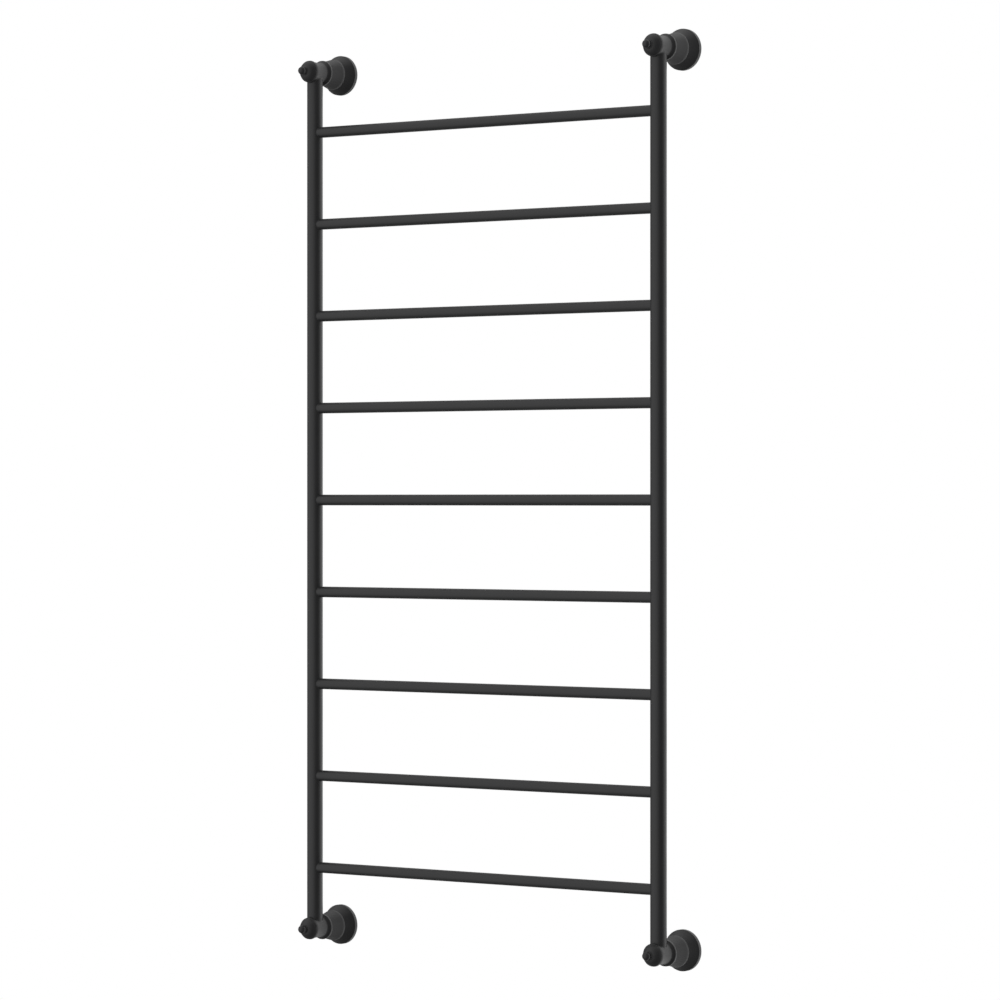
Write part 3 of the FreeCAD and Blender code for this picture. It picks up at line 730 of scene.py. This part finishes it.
# %% [markdown]
# ## Rungs
# The rungs are the main thing that repeats: nine equal tubes at one spacing. The tree sets the one
# tube on a line of points. Loose copies would do too, but the tree keeps count, spacing, diameter
# and wall as inputs that a reader can turn.

# %% Rungs, by Geometry Nodes


def rung_tree():
    tree, given = tree_with_inputs("coped_rungs", {
        "Count": "Int", "Pitch": "Float", "Top": "Vector", "Half span": "Float",
        "Bore": "Float", "Radius": "Float", "Wall": "Float", "Around": "Int", "Rows": "Int",
        "Coat": "Material"})
    down = add_node(tree, "ShaderNodeMath", {0: given["Pitch"], 1: -1.0}, operation="MULTIPLY")
    drop = add_node(tree, "ShaderNodeCombineXYZ", {"Z": down.outputs[0]})
    levels = add_node(tree, "GeometryNodeMeshLine", {
        "Count": given["Count"], "Start Location": given["Top"], "Offset": drop.outputs[0]})
    rungs = add_node(tree, "GeometryNodeInstanceOnPoints", {
        "Points": levels.outputs[0], "Instance": rolled_tube(tree, given)})
    real = add_node(tree, "GeometryNodeRealizeInstances", {0: rungs.outputs[0]})
    coated = add_node(tree, "GeometryNodeSetMaterial", {
        "Geometry": real.outputs[0], "Material": given["Coat"]})
    add_node(tree, "NodeGroupOutput", {0: coated.outputs[0]})
    return tree


top_rung = (0, ladder_y, rung_levels[0])
rung_mesh = grown("rungs", rung_tree(), {
    "Count": len(RUNG_NAMES), "Pitch": rung_pitch, "Top": top_rung, "Half span": half_width,
    "Bore": upright_bore, "Radius": rung_radius, "Wall": RUNG_WALL_MM * MM,
    "Around": RUNG_AROUND, "Rows": RUNG_ROWS, "Coat": coat})
rungs = add_piece("ladder_rungs", finish_mesh("ladder_rungs", rung_mesh, coat), RUNG_NAMES)
print("rungs:", len(rungs.data.polygons), "faces")

# %% [markdown]
# ## Braze at the rungs
# Each rung is brazed into its hole. The molten brass is drawn round the joint and sets as a small
# hollow fillet, which the powder then covers. It is the surface that a ball leaves when it rolls
# round the joint touching both tubes, so it has a formula. The tree below sets that one fillet on
# both ends of every rung, turned round for the right-hand side.

# %% Braze fillets at the rungs
FILLET_MM = 1.1
FILLET_AROUND = 64
FILLET_STEPS = 6


def rung_fillet():
    """Fillet where a rung leaves an upright whose axis is at the origin, towards +X."""
    ball = FILLET_MM * MM
    mesh = bmesh.new()
    rows = [[] for _ in range(FILLET_STEPS + 2)]
    for k in range(FILLET_AROUND):
        angle = FULL_TURN * k / FILLET_AROUND
        cosine, sine = math.cos(angle), math.sin(angle)
        y, z = (rung_radius + ball) * cosine, (rung_radius + ball) * sine
        x = math.sqrt((upright_radius + ball) ** 2 - y ** 2)
        to_rung = Vector((0, -cosine, -sine))
        to_upright = Vector((-x, -y, 0)).normalized()
        opening = to_rung.angle(to_upright)
        for step in range(FILLET_STEPS + 1):
            share = step / FILLET_STEPS
            way = (to_rung * math.sin((1 - share) * opening)
                   + to_upright * math.sin(share * opening)) / math.sin(opening)
            rows[step].append(mesh.verts.new(Vector((x, y, z)) + way * ball))
        heel = math.sqrt(upright_radius ** 2 - (rung_radius * cosine) ** 2)
        rows[-1].append(mesh.verts.new((heel, rung_radius * cosine, rung_radius * sine)))
    for row, next_row in zip(rows, rows[1:] + rows[:1]):
        bridge(mesh, row, next_row)
    return mesh


def fillet_tree():
    tree, given = tree_with_inputs("brazed_joints", {
        "Fillet": "Object", "Count": "Int", "Pitch": "Float", "Top left": "Vector",
        "Top right": "Vector", "Coat": "Material"})
    down = add_node(tree, "ShaderNodeMath", {0: given["Pitch"], 1: -1.0}, operation="MULTIPLY")
    drop = add_node(tree, "ShaderNodeCombineXYZ", {"Z": down.outputs[0]})
    left = add_node(tree, "GeometryNodeMeshLine", {
        "Count": given["Count"], "Start Location": given["Top left"], "Offset": drop.outputs[0]})
    right = add_node(tree, "GeometryNodeMeshLine", {
        "Count": given["Count"], "Start Location": given["Top right"], "Offset": drop.outputs[0]})
    joints = add_node(tree, "GeometryNodeJoinGeometry")
    tree.links.new(left.outputs[0], joints.inputs[0])
    tree.links.new(right.outputs[0], joints.inputs[0])
    place = add_node(tree, "ShaderNodeSeparateXYZ", {0: add_node(
        tree, "GeometryNodeInputPosition").outputs[0]})
    on_the_right = add_node(tree, "ShaderNodeMath", {0: place.outputs["X"], 1: 0.0},
                            operation="GREATER_THAN")
    half_turn = add_node(tree, "ShaderNodeMath", {
        0: on_the_right.outputs[0], 1: math.pi}, operation="MULTIPLY")
    turn = add_node(tree, "ShaderNodeCombineXYZ", {"Z": half_turn.outputs[0]})
    fillet = add_node(tree, "GeometryNodeObjectInfo", {"Object": given["Fillet"]})
    placed = add_node(tree, "GeometryNodeInstanceOnPoints", {
        "Points": joints.outputs[0], "Instance": fillet.outputs["Geometry"],
        "Rotation": turn.outputs[0]})
    real = add_node(tree, "GeometryNodeRealizeInstances", {0: placed.outputs[0]})
    coated = add_node(tree, "GeometryNodeSetMaterial", {
        "Geometry": real.outputs[0], "Material": given["Coat"]})
    add_node(tree, "NodeGroupOutput", {0: coated.outputs[0]})
    return tree


pattern = bpy.data.objects.new("pattern", finish_mesh("pattern", rung_fillet(), coat))
scene.collection.objects.link(pattern)
fillet_mesh = grown("fillets", fillet_tree(), {
    "Fillet": pattern, "Count": len(RUNG_NAMES), "Pitch": rung_pitch,
    "Top left": (-half_width, ladder_y, rung_levels[0]),
    "Top right": (half_width, ladder_y, rung_levels[0]), "Coat": coat})
bpy.data.objects.remove(pattern)
fillets = add_piece("rung_braze_fillets", finish_mesh("rung_braze_fillets", fillet_mesh, coat), [])
print("fillets:", len(fillets.data.polygons), "faces")

# %% [markdown]
# ## Braze at the sockets
# The same fillet runs along the saddle where an upright sits on its socket. It dies out at the
# front and back, where the two surfaces run into each other and are filed flush before coating.
# The socket's side isn't a true cylinder, so the foot of the fillet is put on its outline.

# %% Braze fillets at the sockets
SADDLE_MM = 1.3
SADDLE_LEAST_MM = 0.25
SADDLE_STEPS = 6
SADDLE_FADE = 8              # the higher, the later the fillet dies out at front and back


def saddle_fillet(corner):
    side, level = CORNERS[corner]
    mesh = bmesh.new()
    rows = [[] for _ in range(SADDLE_STEPS + 2)]
    for k in range(UPRIGHT_AROUND):
        angle = FULL_TURN * k / UPRIGHT_AROUND
        cosine, sine = math.cos(angle), math.sin(angle)
        size = (SADDLE_LEAST_MM + (SADDLE_MM - SADDLE_LEAST_MM) * (1 - abs(sine) ** SADDLE_FADE)) * MM
        heel_at = (upright_radius * cosine, upright_radius * sine)
        foot_at = ((upright_radius + size) * cosine,
                   max(socket_front * MM, min(socket_back * MM, (upright_radius + size) * sine)))
        heel = Vector((*heel_at, cope_height(*heel_at)))
        top = heel + Vector((0, 0, size))
        foot = Vector((*foot_at, cope_height(*foot_at)))
        curve = [top * (1 - t) ** 2 + heel * 2 * t * (1 - t) + foot * t ** 2
                 for t in (step / SADDLE_STEPS for step in range(SADDLE_STEPS + 1))]
        for row, (across, along, height) in zip(rows, curve + [heel]):
            row.append(mesh.verts.new(bracket_axis(corner) + Vector((across, along, -level * height))))
    for row, next_row in zip(rows, rows[1:] + rows[:1]):
        bridge(mesh, row, next_row)
    return mesh


for corner in CORNERS:
    name = "saddle_braze_" + corner
    add_piece(name, finish_mesh(name, saddle_fillet(corner), coat), [])
print("saddle fillets %.1f mm" % SADDLE_MM)

# %% [markdown]
# ## Finials
# A finial is one turned piece: knob, neck, bead, dome and a rim that covers the front of the socket.
# Its stub has a real M8 thread, because it shows when the finial is screwed out. The thread's rows
# follow the helix, so its crest stays crisp with few faces, and they stop at the stub's two ends.

# %% Finials
FINIAL_RIM_LENGTH = 3.5
FINIAL_RIM_RADIUS = 15.4
FINIAL_RIM_BULGE = 0.07
FINIAL_EDGE_ROUND = 0.35
DOME_LENGTH = 8.9
DOME_FRONT_RADIUS = 5.95
DOME_BACK_RADIUS = 14.45
DOME_STEP = 0.45
DOME_BULGE = 1.31
BEAD_LENGTH = 1.8
BEAD_BULGE = 1.21
KNOB_RADIUS = 5.7
KNOB_NECK_RADIUS = 4.2
KNOB_NECK_OFFSET = 3.3
KNOB_NECK_BULGE = 0.33
THREAD_PITCH = 1.25
THREAD_CORE_RADIUS = 3.25
THREAD_ROOT_FLAT = 0.2       # share of half a pitch that is flat root
THREAD_FLANK = 0.65          # share that is flank: the rest is flat crest
THREAD_ROWS = 10             # rows of points to one turn

finial_seat, _ = depths("finial_washer_top_right")
_, stub_end = depths("finial_top_right")
rim_front = finial_seat - FINIAL_RIM_LENGTH
dome_front = rim_front - DOME_LENGTH
bead_front = dome_front - BEAD_LENGTH
knob_centre = bead_front - KNOB_NECK_OFFSET
finial_outline = softened(outline(
    (knob_centre - KNOB_RADIUS, 0),
    (knob_centre, KNOB_RADIUS, KNOB_RADIUS * (1 - math.sqrt(0.5))),
    (bead_front, KNOB_NECK_RADIUS, KNOB_NECK_BULGE),
    (dome_front, DOME_FRONT_RADIUS, BEAD_BULGE),
    (rim_front, DOME_BACK_RADIUS, DOME_BULGE),
    (rim_front, DOME_BACK_RADIUS + DOME_STEP),
    (finial_seat - FINIAL_EDGE_ROUND, FINIAL_RIM_RADIUS, FINIAL_RIM_BULGE),
    (finial_seat, FINIAL_RIM_RADIUS - FINIAL_EDGE_ROUND),
    (finial_seat, 0),
))[:-1]


def thread_point(row, k):
    """Distance along and radius of a point of the thread, kept between the stub's two ends."""
    turn = k / AROUND
    along = finial_seat + THREAD_PITCH * (row / THREAD_ROWS + turn - 1)
    along = max(finial_seat, min(stub_end, along))
    share = ((along - finial_seat) / THREAD_PITCH - turn) % 1
    rise = (1 - abs(2 * share - 1) - THREAD_ROOT_FLAT) / THREAD_FLANK
    depth = FINIAL_THREAD_RADIUS - THREAD_CORE_RADIUS
    radius = THREAD_CORE_RADIUS + depth * max(0, min(1, rise))
    return along, min(radius, THREAD_CORE_RADIUS + stub_end - along)


def finial_mesh(corner):
    mesh = bmesh.new()
    rings = [ring_at(mesh, corner, along, radius) for along, radius in finial_outline]
    rows = math.ceil(((stub_end - finial_seat) / THREAD_PITCH + 1) * THREAD_ROWS)
    thread = []
    for row in range(rows + 1):
        thread.append([])
        for k in range(AROUND):
            along, radius = thread_point(row, k)
            angle = FULL_TURN * k / AROUND
            thread[-1].append(mesh.verts.new(bracket_axis(corner) + Vector((
                radius * math.cos(angle), along, radius * math.sin(angle))) * MM))
    for ring, next_ring in zip(rings, rings[1:] + thread[:1]):
        bridge(mesh, ring, next_ring)
    for row in range(rows):
        # past the last point round, the thread goes on one turn further along
        near = thread[row] + [thread[min(row + THREAD_ROWS, rows)][0]]
        far = thread[row + 1] + [thread[min(row + 1 + THREAD_ROWS, rows)][0]]
        for k in range(AROUND):
            mesh.faces.new(list(dict.fromkeys([near[k], near[k + 1], far[k + 1], far[k]])))
    bridge(mesh, thread[-1], ring_at(mesh, corner, stub_end, 0))
    return mesh


for corner in CORNERS:
    name = "screwed_finial_" + corner
    add_piece(name, finish_mesh(name, finial_mesh(corner), coat), ["finial_" + corner],
              body="finial_" + corner)
print("finials %.1f mm from seat to knob" % (finial_seat - knob_centre + KNOB_RADIUS))

# %% [markdown]
# ## Rings
# Behind each socket a short turned ring carries the bell. It swells from the socket's cove to a
# crest, keeps that width for a band, and closes to a narrow groove where the bell begins. Threaded
# nipples at both ends, hidden in the neighbours, hold the bracket together, and the bore lets the
# wires through. It could be a cylinder with a bevel, but an outline gives each slope its own size.

# %% Rings
RING_FOOT_BULGE = -0.15
RING_CREST_RADIUS = 17.5
RING_CREST_OFFSET = 3.6
RING_CREST_CHAMFER = (0.4, 0.2)      # along and across
RING_BAND_BULGE = 0.1
RING_NECK_RADIUS = 16.2
RING_NECK_LENGTH = 0.8
RING_NIPPLE_RADIUS = 6.0

ring_start, ring_end = depths("bracket_ring_top_right")
bell_neck, bell_back = depths("wall_bell_top_right")
crest_at = socket_back + RING_CREST_OFFSET
ring_outline = softened(outline(
    (ring_start, WIRE_BORE_RADIUS),
    (ring_start, RING_NIPPLE_RADIUS),
    (socket_back, RING_NIPPLE_RADIUS),
    (socket_back, SOCKET_BACK_RADIUS),
    (crest_at - RING_CREST_CHAMFER[0], RING_CREST_RADIUS - RING_CREST_CHAMFER[1], RING_FOOT_BULGE),
    (crest_at, RING_CREST_RADIUS),
    (bell_neck - RING_NECK_LENGTH, RING_CREST_RADIUS, RING_BAND_BULGE),
    (bell_neck, RING_NECK_RADIUS),
    (bell_neck, RING_NIPPLE_RADIUS),
    (ring_end, RING_NIPPLE_RADIUS),
    (ring_end, WIRE_BORE_RADIUS),
), FINE_EDGE_ROUND_MM)
for corner in CORNERS:
    name = "turned_ring_" + corner
    add_piece(name, finish_mesh(name, turned(corner, ring_outline), coat), ["bracket_ring_" + corner])
print("rings %.1f mm across at the crest" % (2 * RING_CREST_RADIUS))

# %% [markdown]
# ## Bells
# A bell hides the wall plate. A nearly straight cone widens from the ring to a crisp edge, steps in,
# and a steeper skirt runs out to the thick rim that stands on the wall. It is hollow, with a wall
# 2 mm thick at the step, and a grub screw in its underside locks it to the plate. Only that hole
# needs a boolean: the rest is one outline.

# %% Bells
BELL_FRONT_BULGE = -0.15
BELL_EDGE_RADIUS = 21.2
BELL_EDGE_TO_WALL = 20.7
BELL_EDGE_LAND = 2.4
BELL_EDGE_TAPER = 0.1
BELL_EDGE_STEP = 0.9
BELL_EDGE_STEP_LENGTH = 0.5
BELL_SKIRT_BULGE = -0.25
BELL_RIM_RADIUS = 27.8
BELL_RIM_LENGTH = 6.4
BELL_RIM_ROUND = 0.5
BELL_WALL = 2.0
BELL_HUB = 8.0
BELL_HUB_RADIUS = 15.2
BELL_SEAT_LIP = 0.8
PLATE_CLEARANCE = 0.2
GRUB_HOLE_RADIUS = 2.05
DRILL_FROM = 0.9             # of the plate's radius: the drill starts inside its edge
DRILL_TO = 1.2               # of the rim's radius: and comes out past the bell

wall_at = -ladder_y / MM
plate_front, _ = depths("wall_plate_top_right")
plate_radius = box_size("wall_plate_top_right").x / 2 / MM
plate_bore = plate_radius + PLATE_CLEARANCE
plate_seat = plate_front - (wall_at - bell_back)
edge_at = wall_at - BELL_EDGE_TO_WALL
skirt_at = edge_at + BELL_EDGE_STEP_LENGTH
skirt_radius = BELL_EDGE_RADIUS - BELL_EDGE_STEP
rim_at = bell_back - BELL_RIM_LENGTH
rim_shoulder = BELL_RIM_RADIUS - BELL_RIM_ROUND
bell_outline = softened(outline(
    (bell_neck, BACK_THREAD_RADIUS),
    (bell_neck, RING_NECK_RADIUS),
    (edge_at - BELL_EDGE_LAND, BELL_EDGE_RADIUS - BELL_EDGE_TAPER, BELL_FRONT_BULGE),
    (edge_at, BELL_EDGE_RADIUS),
    (skirt_at, skirt_radius),
    (rim_at, rim_shoulder, BELL_SKIRT_BULGE),
    (rim_at + BELL_RIM_ROUND, BELL_RIM_RADIUS),
    (bell_back - BELL_RIM_ROUND, BELL_RIM_RADIUS),
    (bell_back, rim_shoulder),
    (bell_back, plate_bore),
    (plate_seat, plate_bore),
    (plate_seat, plate_bore - BELL_SEAT_LIP),
    (skirt_at, skirt_radius - BELL_WALL),
    (bell_neck + BELL_HUB, BELL_HUB_RADIUS),
    (bell_neck + BELL_HUB, BACK_THREAD_RADIUS),
))
for corner in CORNERS:
    name = "flared_bell_" + corner
    whole = finish_mesh(name + "_whole", turned(corner, bell_outline), coat)
    hole_at = bracket_axis(corner) + Vector((0, (plate_front + wall_at) / 2, 0)) * MM
    hole = bmesh.new()
    round_bar(hole, hole_at - Vector((0, 0, plate_radius * DRILL_FROM)) * MM,
              hole_at - Vector((0, 0, BELL_RIM_RADIUS * DRILL_TO)) * MM, GRUB_HOLE_RADIUS * MM)
    add_piece(name, finish_mesh(name, cut_away(whole, hole), coat), ["wall_bell_" + corner])
print("bells %.1f mm across at the rim" % (2 * BELL_RIM_RADIUS))

# %% [markdown]
# ## Finishes of the pieces that keep their CAD mesh
# Washers, wall plates, nuts, screws and the wiring are right as they are in the CAD model, so they
# only need their finish. Each is one of the same few layers: two shades mixed by a noise, a
# roughness that follows it, and a bump from a grain. What differs is the real material's colour,
# gloss and grain, and whether the grain is drawn out along one axis by rolling or drawing.

# %% Finishes for the CAD meshes
FINISHES = {
    # slot: name, two shades, roughness, metal, grain mm, grain height mm, stretch
    # pressed paper fibre, dyed black: matt, with a faint nap
    "black_fibre": ("vulcanised_fibre", "#1c1a19", "#2a2725", 0.72, 0, 0.6, 0.02, (1, 1, 1)),
    # bright electroplated zinc over rolled plate: cool, with faint rolling lines
    "zinc_plated_steel": ("bright_zinc_plate", "#a9adb3", "#c4c7cb", 0.30, 1, 0.7, 0.004, (0.08, 1, 1)),
    # chemically blacked screw steel, oiled: dark and half glossy
    "black_oxide_steel": ("black_oxide_steel", "#26272a", "#37393d", 0.36, 1, 0.5, 0.004, (1, 1, 1)),
    # extruded silicone, iron-oxide red, lightly dusted with talc
    "heating_cable_jacket": ("red_silicone_rubber", "#8a2f26", "#a2463a", 0.58, 0, 1.2, 0.01, (1, 1, 1)),
    # extruded silicone, grey
    "silicone_lead": ("grey_silicone_rubber", "#77797c", "#8b8d90", 0.55, 0, 1.2, 0.01, (1, 1, 1)),
    # polyolefin sleeve shrunk on with hot air: soft sheen and small wrinkles
    "heat_shrink": ("heat_shrink_polyolefin", "#191919", "#232323", 0.42, 0, 2.0, 0.06, (1, 1, 0.3)),
    # deep-drawn aluminium can, with draw lines along it
    "cutout_case": ("drawn_aluminium", "#c3c5c8", "#d9dadc", 0.28, 1, 0.5, 0.006, (1, 1, 0.06)),
    # moulded EPDM rubber: very matt, slightly dusty
    "black_rubber": ("moulded_epdm_rubber", "#161616", "#222221", 0.80, 0, 0.9, 0.03, (1, 1, 1)),
    # glass-filled polyamide from a spark-eroded mould
    "terminal_plastic": ("moulded_polyamide", "#dcd7ca", "#e8e4d9", 0.48, 0, 0.5, 0.02, (1, 1, 1)),
    # bar-turned brass, with a little tarnish
    "terminal_brass": ("turned_brass", "#b58f4a", "#cfab63", 0.26, 1, 0.6, 0.004, (1, 1, 1)),
}
GLOSS_SPREAD = 0.06
FINISH_PATCH_MM = 6.0


def layered_finish(name, dark, light, roughness, metal, grain_mm, height_mm, stretch):
    material, tree = new_material(name)
    place = add_node(tree, "ShaderNodeTexCoord").outputs["Object"]
    drawn = add_node(tree, "ShaderNodeMapping", {"Vector": place, "Scale": stretch}).outputs[0]
    patches = add_node(tree, "ShaderNodeTexNoise", {
        "Vector": drawn, "Scale": per_metre(FINISH_PATCH_MM), "Detail": 3.0})
    grain = add_node(tree, "ShaderNodeTexNoise", {
        "Vector": drawn, "Scale": per_metre(grain_mm), "Detail": 2.0, "Roughness": 0.6})
    shade = add_node(tree, "ShaderNodeMix", {
        "Factor": patches.outputs["Fac"], 6: hex_colour(dark), 7: hex_colour(light)}, data_type="RGBA")
    gloss = add_node(tree, "ShaderNodeMapRange", {
        "Value": grain.outputs["Fac"], "From Min": NOISE_RANGE[0], "From Max": NOISE_RANGE[1],
        "To Min": roughness - GLOSS_SPREAD, "To Max": roughness + GLOSS_SPREAD})
    bump = add_node(tree, "ShaderNodeBump", {
        "Height": grain.outputs["Fac"], "Distance": height_mm * MM})
    shader = add_node(tree, "ShaderNodeBsdfPrincipled", {
        "Base Color": shade.outputs[2], "Roughness": gloss.outputs[0], "Metallic": float(metal),
        "Normal": bump.outputs[0]})
    add_node(tree, "ShaderNodeOutputMaterial", {"Surface": shader.outputs[0]})
    return material


finishes = {slot: layered_finish(*layers) for slot, layers in FINISHES.items()}
finishes[COAT_SLOT] = coat
slot_of = {part["node"]: part["material_slot"] for part in frame["record"]["subparts"]}
for name, node in frame["nodes"].items():
    node.data.materials.clear()
    node.data.materials.append(finishes[slot_of[name]])
print(len(finishes), "finishes on", len(frame["nodes"]), "CAD nodes")
